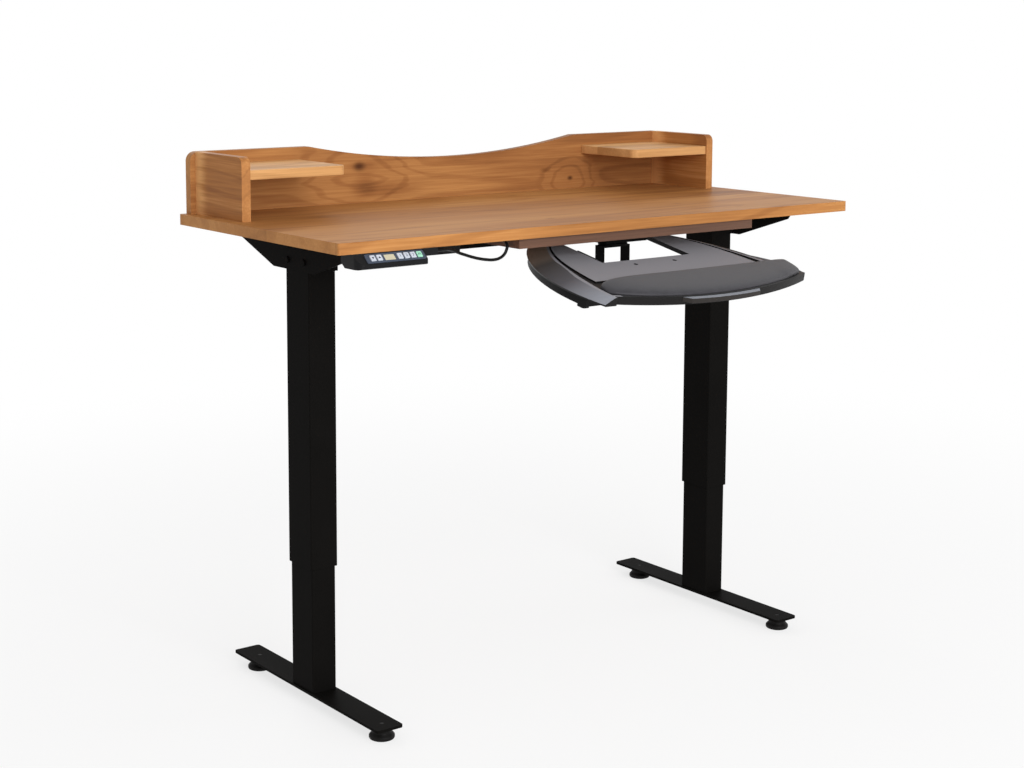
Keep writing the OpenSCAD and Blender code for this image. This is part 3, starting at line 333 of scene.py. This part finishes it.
# Each levelling glide is a nylon cup moulded over a steel stud, which screws up into the foot.
# Moulded nylon is about as black as the frame's coat, with a little more sheen.
def moulded(name, colours, rough, grain=0.0012, strength=0.10, coat=0.0):
    """Moulded plastic with the fine spark-eroded grain of its tool, drawn coarse enough to show."""
    mat = new_finish(name, {"IOR": 1.46, "Specular IOR Level": 0.12, "Coat Weight": coat})
    spot = add(mat, "TexCoord", out="Object")
    tool = add(mat, "TexNoise", {"Vector": spot, "Scale": 1 / grain, "Detail": 2.0})
    drift = add(mat, "TexNoise", {"Vector": spot, "Scale": 30.0, "Detail": 2.0})
    return surface(
        mat, colours, mottle=drift, rough=(rough - 0.05, rough + 0.08), wear=tool,
        relief=tool, strength=strength, depth=0.0003,
    )


nylon = moulded("glide_nylon", ("0c0b0b", "151413"), 0.5)
dress(
    ["left_front_glide", "left_back_glide", "right_front_glide", "right_back_glide"], nylon, 0.0003
)


# Inside the columns run a bright rolled steel spindle and a waxy white acetal nut, between black
# acetal bushes. A dull die-cast gearbox sits on top, with a black enamelled motor on its side.
def bare_metal(name, colours, rough, marks_per_metre):
    """Bare, cast or plated metal whose fine marks are drawn 1 to 3 mm apart so that they show."""
    mat = new_finish(name, {"Metallic": 1.0})
    spot = add(mat, "TexCoord", out="Object")
    spot = add(mat, "Mapping", {0: spot, "Scale": marks_per_metre})
    marks = add(mat, "TexNoise", {"Vector": spot, "Scale": 1.0, "Detail": 3.0})
    return surface(
        mat, colours, mottle=marks, rough=(rough - 0.07, rough + 0.07), wear=marks,
        relief=marks, strength=0.08, depth=0.0002,
    )


acetal = moulded("bush_acetal", ("141414", "1c1c1c"), 0.4)
nut_acetal = moulded("nut_acetal", ("d8d6cc", "e4e2da"), 0.35)
dress(["guide_bushes", "left_top_bush", "right_top_bush"], acetal)
dress(["left_spindle_nut", "right_spindle_nut"], nut_acetal)
spindle_steel = bare_metal(
    "spindle_rolled_steel", ("8c8f92", "b2b5b8"), 0.3, (40.0, 40.0, 900.0)
)
casting = bare_metal("gearbox_casting", ("4a4b4d", "5e5f61"), 0.55, (300.0, 300.0, 300.0))
dress(["left_spindle", "right_spindle"], spindle_steel)
dress(["gearboxes"], casting, 0.001)
motor_paint = powder_coat("motor_enamel", ("161617", "222224"), 0.4)
dress(["left_motor", "right_motor"], motor_paint, 0.001)

# Bright zinc-plated screws and bolts hold the wood, the feet and the tray. The columns' bolts show
# from the side, so they are blackened to match the frame.
zinc = bare_metal("screw_zinc_plate", ("a4a6a3", "c6c8c4"), 0.34, (400.0, 400.0, 400.0))
dress(["left_foot_bolts", "right_foot_bolts", "wood_screws", "platform_screws"], zinc, 0.0003, 50)
dress(["column_bolts"], frame_coat, 0.0003, 50)

# The control box is textured black ABS. Its leads have a soft black PVC sheath with a satin sheen,
# and they hang or run in the curves that such a sheath takes. Moulded clips hold them.
box_abs = moulded("control_box_abs", ("131313", "1c1c1d"), 0.45)
dress(["control_box"], box_abs, 0.0015)
dress(["cable_clips"], box_abs, 0.0004)

# The desktop's middle lies this far behind the middle of the whole, and its underside this high.
desk_y = 0.11275
under_z = 0.869
lead_r = 0.00275
sheath = moulded("lead_pvc", ("0b0b0b", "131313"), 0.38, grain=0.002, strength=0.05)


def show(piece):
    """Links an object into the scene."""
    bpy.context.scene.collection.objects.link(piece)
    return piece


def lead(name, route):
    """A round lead through points in millimetres from the middle of the desktop's underside."""
    line = bpy.data.curves.new(name, "CURVE")
    line.dimensions = "3D"
    line.bevel_depth = lead_r
    line.bevel_resolution = 4
    line.resolution_u = 6
    line.use_fill_caps = True
    spline = line.splines.new("BEZIER")
    spline.bezier_points.add(len(route) - 1)
    for point, (x, y, z) in zip(spline.bezier_points, route):
        point.co = (x / 1000, y / 1000 + desk_y, z / 1000 + under_z)
        point.handle_left_type = point.handle_right_type = "AUTO"
    line.materials.append(sheath)
    piece = show(bpy.data.objects.new(name, line))
    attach(piece, "top_frame")
    return piece


handset_lead = lead(
    "handset_lead",
    [(-410.5, -270, -7), (-398, -270, -7), (-385, -267, -7.5), (-371, -260, -9.5),
     (-358, -254, -13), (-345, -251, -18), (-330, -250, -23), (-316, -250, -27.5),
     (-301, -250, -31.5), (-285, -250, -34.5), (-269, -250, -36), (-255, -250, -34),
     (-245, -250, -28), (-240, -250, -20), (-238, -249, -13), (-238, -245, -7.5),
     (-238, -237, -4.5), (-238, -225, -3.5), (-238, -212, -3.5), (-238, -199, -3.5),
     (-238, -186, -3.5), (-239, -173, -4.5), (-241, -160, -7.5), (-245, -147, -11.5),
     (-251, -136, -14.5), (-260, -129, -16), (-269.5, -129, -16)],
)
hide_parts("handset_cable")
left_motor_lead = lead(
    "left_motor_lead",
    [(-340, -81.5, -22), (-340, -70, -22), (-340, -56, -22), (-340, -42, -22), (-341, -28, -22),
     (-344, -16, -22), (-351, -6, -22), (-360, -1, -22.3), (-370.5, 0, -22.5)],
)
right_motor_lead = lead(
    "right_motor_lead",
    [(-300, -81.5, -22), (-300, -70, -22), (-300, -56, -22), (-300, -42, -22), (-298, -30, -24),
     (-291, -22, -28), (-280, -19, -33), (-266, -18, -37), (-250, -18, -39), (-220, -18, -39),
     (-100, -18, -39), (20, -18, -39), (140, -18, -39), (300, -18, -39), (318, -17, -37),
     (332, -15, -33), (344, -11, -28), (354, -5, -24), (362, -1, -22.7), (370.5, 0, -22.5)],
)
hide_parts("motor_leads")
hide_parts("motor_leads")

# The handset is matte black ABS with a slate polyester film on its sloping face. Its keys are pale
# blue-grey, the last one mint, each with a printed mark, and its display is dull tan-grey glass.
handset_abs = moulded("handset_abs", ("0f0f10", "18181a"), 0.42)
film = moulded("face_film_polyester", ("3c4350", "464e5c"), 0.36, grain=0.0016, strength=0.04)
key_plastic = moulded("key_plastic", ("b4bac6", "c3c9d3"), 0.4, grain=0.0014, strength=0.05)
mint_plastic = moulded(
    "memory_key_plastic", ("8fcdb0", "a2dabf"), 0.4, grain=0.0014, strength=0.05
)
display_glass = moulded(
    "display_glass", ("b4ad93", "c0b99f"), 0.14, grain=0.003, strength=0.02, coat=0.5
)
print_ink = moulded("key_print_ink", ("1c2430", "242d3a"), 0.5)
dress(["handset_body"], handset_abs, 0.0012)
dress(["handset_face"], film, 0.0004)
dress(["handset_display"], display_glass, 0.0003)
# The keys' places along the face, in millimetres from its middle.
keys = {"down": -45.5, "up": -32.3, "preset_1": 9, "preset_2": 22, "preset_3": 35, "memory": 48}
dress([key + "_button" for key in keys if key != "memory"], key_plastic, 0.0006)
dress(["memory_button"], mint_plastic, 0.0006)
key_top = 0.00303
face_slope = Matrix.Rotation(math.radians(43), 4, "X")
face_place = Matrix.Translation((-0.503, -0.2875 + desk_y, under_z - 0.0093)) @ face_slope


def put(name, verts, faces, mat, body, place):
    """Adds a new mesh piece with its finish and the body that it moves with."""
    mesh = bpy.data.meshes.new(name)
    mesh.from_pydata(verts, [], faces)
    mesh.materials.append(mat)
    mesh.transform(place)
    mesh.update()
    piece = show(bpy.data.objects.new(name, mesh))
    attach(piece, body)
    return piece


# The arrows are prisms that stand 0.05 mm out of their keys.
for key, way in (("down", -1), ("up", 1)):
    outline = [(-0.0026, -0.0016 * way), (0.0026, -0.0016 * way), (0, 0.0024 * way)]
    middle = keys[key] / 1000
    verts = [(middle + x, y, key_top + z) for z in (-0.0003, 0.00005) for x, y in outline]
    faces = [(2, 1, 0), (3, 4, 5)] + [(i, (i + 1) % 3, (i + 1) % 3 + 3, i + 3) for i in range(3)]
    if way < 0:
        faces = [face[::-1] for face in faces]
    mark = put(key + "_arrow", verts, faces, print_ink, key + "_button", face_place)
for key, word in (("preset_1", "1"), ("preset_2", "2"), ("preset_3", "3"), ("memory", "M")):
    text = bpy.data.curves.new(key + "_mark", "FONT")
    text.body = word
    text.size = 0.0075
    text.align_x = "CENTER"
    text.align_y = "CENTER"
    text.extrude = 0.00006
    text.materials.append(print_ink)
    mark = show(bpy.data.objects.new(key + "_mark", text))
    mark.matrix_world = face_place @ Matrix.Translation((keys[key] / 1000, 0, key_top))
    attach(mark, key + "_button")

# The tray's track, carriage, swivel, arms and brackets are pressed steel under thin black powder
# coat, a little smoother than the frame's. A fluted phenolic knob with a soft shine locks them.
tray_coat = powder_coat("powder_coat_tray", ("0d0d0d", "161616"), 0.42)
dress(
    ["track", "carriage", "swivel_bracket", "lift_arms", "tilt_head", "tilt_plate", "mouse_pivot"],
    tray_coat, 0.0004, 40,
)
phenolic = moulded("knob_phenolic", ("101011", "19191a"), 0.35)
dress(["lock_knob"], phenolic, 0.0012)

# The platform is one structural-foam moulding in ABS: a dark floor with a paler raised pad, a
# sloping satin band along each side, and a black lip. Light and shade are painted into the floor,
# the pad and the bands.
tray_tilt = math.radians(11)
tray_slope = Matrix.Rotation(tray_tilt, 4, "X")
tray_place = Matrix.Translation((0.060, -0.505095 + desk_y, 0.772)) @ tray_slope
platform_abs = new_finish("platform_abs", {"IOR": 1.5, "Specular IOR Level": 0.08})
spot = add(platform_abs, "TexCoord", out="Object")
# The colours are laid out in the platform's own directions, so its tilt is turned back first.
tray_spot = add(
    platform_abs, "Mapping",
    {0: spot, "Location": tray_place.inverted().translation, "Rotation": (-tray_tilt, 0, 0)},
)
tray_normal = add(
    platform_abs, "Mapping",
    {0: add(platform_abs, "TexCoord", out="Normal"), "Rotation": (-tray_tilt, 0, 0)},
)
up = add(platform_abs, "SeparateXYZ", {0: tray_normal}, out="Z")
across, back, high = (
    add(platform_abs, "SeparateXYZ", {0: tray_spot}, out=axis) for axis in "XYZ"
)
# The lip in front stays black: the grey starts behind it, or outside it at the left end.
lip_back, lip_left = 0.078, -0.205
behind = add(platform_abs, "Math", {0: back, 1: lip_back}, operation="GREATER_THAN")
outside = add(platform_abs, "Math", {0: across, 1: lip_left}, operation="LESS_THAN")
off_lip = add(platform_abs, "Math", {0: behind, 1: outside}, operation="MAXIMUM")
# The pad is dead level and stands above the floor. The bands slope, but still face upwards.
dead_level, steepest, pad_foot = 0.9985, 0.6, -0.0012
masks = []
for limits in (
    ((up, "GREATER_THAN", dead_level), (high, "GREATER_THAN", pad_foot)),
    ((up, "LESS_THAN", dead_level), (up, "GREATER_THAN", steepest)),
):
    mask = off_lip
    for value, side, limit in limits:
        inside = add(platform_abs, "Math", {0: value, 1: limit}, operation=side)
        mask = add(platform_abs, "Math", {0: mask, 1: inside}, operation="MULTIPLY")
    masks.append(mask)
raised_pad, side_band = masks
# The band is its own grey in the middle, with a painted highlight in front and, at the rear, brown
# as a painted reflection of the lit cherry, lightened against the desktop's shade.
to_rear = add(platform_abs, "MapRange", {"Value": back, "From Min": 0.06, "From Max": 0.36})
band_tone_and_light = add(
    platform_abs, "ValToRGB", {"Fac": to_rear}, out="Color",
    stops=[(0, "8c8e96"), (0.35, "55555a"), (0.65, "4c4846"), (1, "a8917e")],
)
# The floor is the lip's black, which also serves as painted shade in its recess; the pad's grey is
# lightened as painted light against the desktop's shade.
colour = linear("1c1b1b")
for mask, paler in ((raised_pad, linear("8b8a8f")), (side_band, band_tone_and_light)):
    colour = add(platform_abs, "Mix", {0: mask, 6: colour, 7: paler}, out=2, data_type="RGBA")
# The tool's grain is under 0.5 mm; it is drawn 1.4 mm across so that it shows.
tool = add(platform_abs, "TexNoise", {"Vector": spot, "Scale": 700.0, "Detail": 2.0})
connect(
    platform_abs,
    {
        "Base Color": colour,
        "Roughness": add(platform_abs, "MapRange", {"Value": tool, "To Min": 0.30, "To Max": 0.44}),
        "Normal": add(platform_abs, "Bump", {"Height": tool, "Strength": 0.08, "Distance": 0.0003}),
    },
)
dress(["keyboard_platform"], platform_abs, 0.0008, 24)

# The grip on the lip is an ABS moulding that clips on, dark in front; its upward faces are painted
# light grey, as painted light from above. It has the same grain as the platform.
grip_abs = new_finish("grip_abs", {"IOR": 1.5, "Specular IOR Level": 0.2})
grip_up = add(grip_abs, "SeparateXYZ", {0: add(grip_abs, "TexCoord", out="Normal")}, out="Z")
# The light grey on faces that turn upwards is painted light.
grip_lit_top = add(grip_abs, "MapRange", {"Value": grip_up, "From Min": 0.5, "From Max": 0.8})
grip_colour = {0: grip_lit_top, 6: linear("262220"), 7: linear("787b83")}
grip_tool = add(grip_abs, "TexNoise", {0: add(grip_abs, "TexCoord", out="Object"), "Scale": 700.0})
grip_rough = {"Value": grip_tool, "To Min": 0.34, "To Max": 0.46}
grip_relief = {"Height": grip_tool, "Strength": 0.06, "Distance": 0.0003}
connect(
    grip_abs,
    {
        "Base Color": add(grip_abs, "Mix", grip_colour, out=2, data_type="RGBA"),
        "Roughness": add(grip_abs, "MapRange", grip_rough),
        "Normal": add(grip_abs, "Bump", grip_relief),
    },
)
dress(["lip_grip"], grip_abs, 0.001)

# The mouse tray is a thin black ABS dish with a fine matte grain. It turns on a pin under the left
# end of the platform.
mouse_abs = moulded("mouse_tray_abs", ("0e0e0f", "161617"), 0.45, grain=0.0015, strength=0.14)
dress(["mouse_tray"], mouse_abs, 0.0008)

# The palm rest is a soft foam roll under black leatherette, drawn in at its left end and sewn along
# its front foot. The embossed hide grain has cells about 2 mm across, in soft folds some 17 mm
# across, and both give it a broken sheen.
leatherette = new_finish(
    "palm_leatherette", {"IOR": 1.5, "Specular IOR Level": 0.18, "Sheen Weight": 0.08}
)
hide_spot = add(leatherette, "TexCoord", out="Object")
cells = add(
    leatherette, "TexVoronoi", {"Vector": hide_spot, "Scale": 520.0}, feature="DISTANCE_TO_EDGE"
)
creases = add(leatherette, "TexNoise", {"Vector": hide_spot, "Scale": 60.0, "Detail": 4.0})
hide = add(leatherette, "MapRange", {"Value": cells, "From Min": 0.0, "From Max": 0.12})
folds = add(leatherette, "Bump", {"Height": creases, "Strength": 0.15, "Distance": 0.001})
hide_colours = [(0, "2a292c"), (1, "3e3d42")]
hide_rough = {"Value": creases, "To Min": 0.36, "To Max": 0.52}
hide_relief = {"Height": hide, "Strength": 0.25, "Distance": 0.0003, "Normal": folds}
connect(
    leatherette,
    {
        "Base Color": add(
            leatherette, "ValToRGB", {"Fac": creases}, out="Color", stops=hide_colours
        ),
        "Roughness": add(leatherette, "MapRange", hide_rough),
        "Normal": add(leatherette, "Bump", hide_relief),
    },
)
palm_left, palm_right, palm_back = -0.215, 0.2482, 0.118
# These heights are above the platform's own top face.
recess, corner_top, crest = -0.0027, 0.0003, 0.0148
climb_start, climb_length = 0.180, 0.030
stations, around = 72, 18


def lip_front(u):
    """How far the platform's bowed front edge lies behind the grip, at U from the middle."""
    left_bow, right_bow, grip_depth = 0.560, 0.668, 0.012
    bow = right_bow if u > 0 else left_bow
    return grip_depth + bow - math.sqrt(bow**2 - u * u)


def ramp(t):
    """Height across the roll: it climbs from the front and rounds off at the back."""
    highest = 0.94
    return t**0.3 * (1 - t**30) / highest


verts = []
for i in range(stations + 1):
    s = math.sin(math.pi / 2 * (2 * i / stations - 1))
    u = (palm_left + palm_right + (palm_right - palm_left) * s) / 2
    # The left end is drawn in. The right end lies on the platform's corner and is cut square.
    if s < 0:
        wide = full = 0.3 + 0.7 * math.sqrt(1 - s**8)
    else:
        end = math.sqrt(max(0.0, 1 - s**14))
        wide, full = 0.88 + 0.12 * end, 0.80 + 0.20 * end
    # The foot climbs smoothly from the recess to the top of the corner.
    climb = min(max((u - climb_start) / climb_length, 0.0), 1.0)
    low = recess + (corner_top - recess) * climb * climb * (3 - 2 * climb)
    # The roll starts 7 mm behind the lip's edge.
    front = lip_front(u) + 0.007
    mid, half = (front + palm_back) / 2, (palm_back - front) / 2
    for k in range(around + 1):
        a = math.pi * k / around
        rise = (crest - low) * full * ramp((1 - math.cos(a)) / 2) if 0 < k < around else 0.0
        verts.append((u, mid - half * wide * math.cos(a), low + rise))
ring = around + 1
faces = [tuple(range(around, -1, -1)), tuple(range(stations * ring, (stations + 1) * ring))]
for i in range(stations):
    for k in range(ring):
        a, b = i * ring + k, i * ring + (k + 1) % ring
        faces.append((a, b, b + ring, a + ring))
palm = put("palm_pad", verts, faces, leatherette, "platform", tray_place)
palm.data.shade_smooth()
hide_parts("palm_rest")


# A plain pale matt floor in a pale room, as a studio has them. Away from the desk the floor fades
# to pure white, and near it the floor keeps the desk's shadow.
def seen_as_backdrop(owner):
    """1 for rays from the camera, off a gloss or through glass, which see a white backdrop."""
    backdrop = add(owner, "LightPath", out="Is Camera Ray")
    for kind in ("Is Glossy Ray", "Is Transmission Ray"):
        rays = {0: backdrop, 1: add(owner, "LightPath", out=kind)}
        backdrop = add(owner, "Math", rays, operation="MAXIMUM")
    return backdrop


reach = 40
floor_mesh = bpy.data.meshes.new("floor")
floor_mesh.from_pydata(
    [(-reach, -reach, 0), (reach, -reach, 0), (reach, reach, 0), (-reach, reach, 0)],
    [],
    [(0, 1, 2, 3)],
)
floor = show(bpy.data.objects.new("floor", floor_mesh))
floor_paint = new_finish(
    "floor_paint", {"Base Color": linear("f2f2f2"), "Roughness": 0.9, "Specular IOR Level": 0.0}
)
white = add(floor_paint, "Emission", {"Color": linear("ffffff"), "Strength": 1.0})
away = add(
    floor_paint, "VectorMath", {0: add(floor_paint, "TexCoord", out="Object")}, out="Value",
    operation="LENGTH",
)
fade = add(
    floor_paint, "MapRange", {"Value": away, "From Min": 0.6, "From Max": 3.0, "To Min": 0.72},
    interpolation_type="SMOOTHSTEP",
)
share = add(
    floor_paint, "Math", {0: fade, 1: seen_as_backdrop(floor_paint)}, operation="MULTIPLY"
)
paint = floor_paint.node_tree.nodes["Principled BSDF"].outputs[0]
pale = add(floor_paint, "MixShader", {0: share, 1: paint, 2: white})
output = floor_paint.node_tree.nodes["Material Output"]
floor_paint.node_tree.links.new(pale, output.inputs["Surface"])
floor_mesh.materials.append(floor_paint)

# The room's walls show as white but give about half of that light, so that the lamps shape the
# desk. They are four soft panels: two in front, one at the right and one behind.
world = bpy.data.worlds.new("studio")
world.use_nodes = True
sky = world.node_tree.nodes["Background"]
sky.inputs["Color"].default_value = linear("ffffff")
brightness = add(world, "MapRange", {"Value": seen_as_backdrop(world), "To Min": 0.55})
world.node_tree.links.new(brightness, sky.inputs["Strength"])
bpy.context.scene.world = world

for name, place, aim, size, power in (
    ("key_light", (-1.0, -4.2, 2.4), (0, 0, 0.8), 2.4, 125),
    ("low_light", (-0.4, -4.4, 0.9), (0.1, -0.3, 0.8), 2.2, 60),
    ("side_light", (4.2, -1.0, 2.4), (0, 0, 0.6), 2.4, 16),
    ("back_light", (0.5, 3.2, 3.4), (0, 0, 0.8), 2.0, 30),
):
    lamp = bpy.data.lights.new(name, "AREA")
    lamp.size = size
    lamp.energy = power
    holder = show(bpy.data.objects.new(name, lamp))
    holder.location = place
    holder.rotation_mode = "QUATERNION"
    holder.rotation_quaternion = (Vector(aim) - Vector(place)).to_track_quat("-Z", "Y")
bpy.context.scene.view_settings.view_transform = "Standard"

# The camera stands at the left in front, a little above the desktop, turned right and slightly
# down. Its focal length and the middle of its view are in pixels of the whole image.
image_width, image_height = 1024, 768
focal_length = 1800.74
middle_x, middle_y = 478.65, 251.03
yaw, pitch, roll = 0.64010, 0.12700, 0.0027
ahead = Vector(
    (math.sin(yaw) * math.cos(pitch), math.cos(yaw) * math.cos(pitch), -math.sin(pitch))
)
right = Vector((math.cos(yaw), -math.sin(yaw), 0))
over = right.cross(ahead)
right, over = (
    math.cos(roll) * right + math.sin(roll) * over,
    -math.sin(roll) * right + math.cos(roll) * over,
)
lens = bpy.data.cameras.new("camera")
lens.sensor_width = 36
lens.lens = focal_length * lens.sensor_width / image_width
lens.shift_x = (image_width / 2 - middle_x) / image_width
lens.shift_y = -(image_height / 2 - middle_y) / image_width
camera = show(bpy.data.objects.new("camera", lens))
turn = Matrix((right, over, -ahead)).transposed()
camera.matrix_world = Matrix.Translation((-2.16957, -2.75832 + desk_y, 1.25027)) @ turn.to_4x4()
bpy.context.scene.camera = camera
